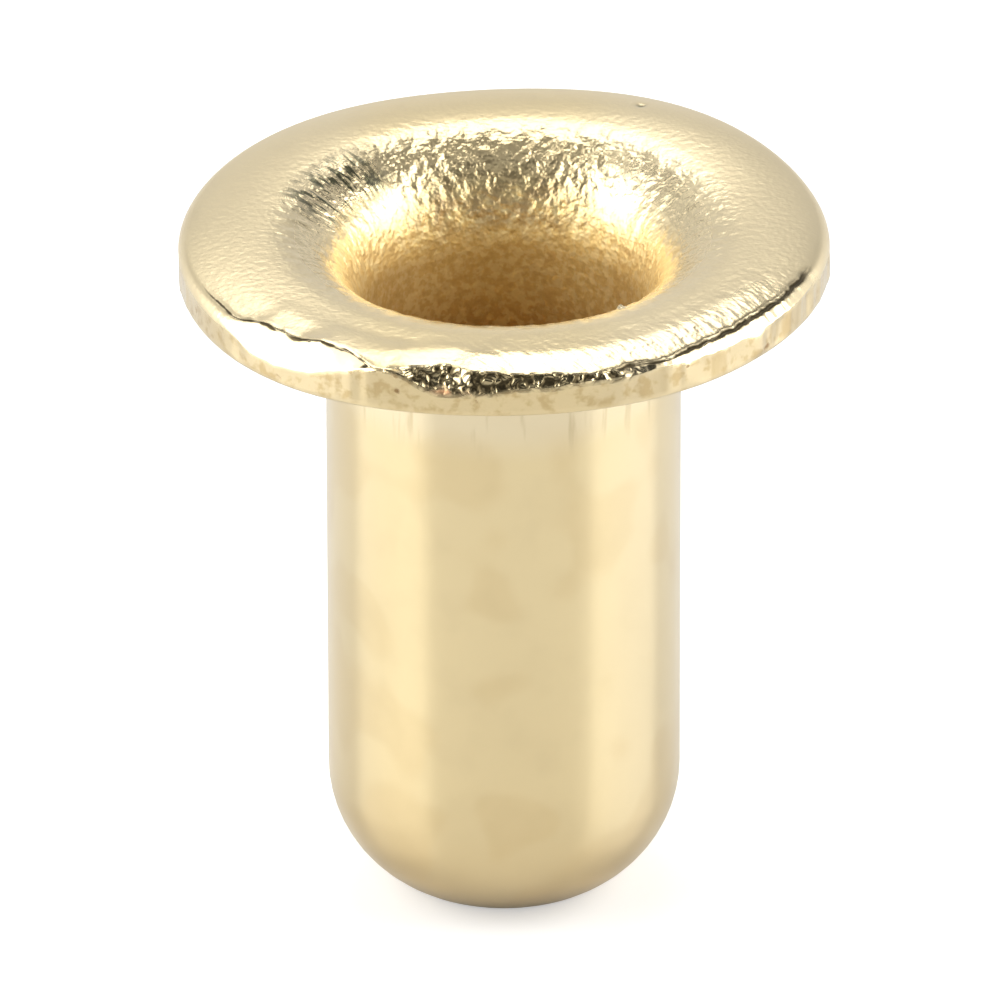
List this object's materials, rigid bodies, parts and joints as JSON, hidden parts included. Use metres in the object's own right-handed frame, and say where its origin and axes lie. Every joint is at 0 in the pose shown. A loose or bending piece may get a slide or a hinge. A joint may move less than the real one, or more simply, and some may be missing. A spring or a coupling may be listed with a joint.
{
  "type": "beehive frame eyelet",
  "caption": "Flanged brass eyelet with a flared mouth, a straight hollow barrel and a rounded, pierced end, for lining a wire hole in a hive frame's end bar.",
  "frame": {"origin": "centre of the pierced end that the eyelet stands on", "axes": "+Z along the bore axis, from the pierced end up to the flared mouth; X and Y are any two directions across the flange"},
  "size_m": [0.0054, 0.0054, 0.0061],
  "materials": {
    "brass": "satin"
  },
  "bodies": {
    "root": {"eyelet": "brass"}
  },
  "joints": []
}
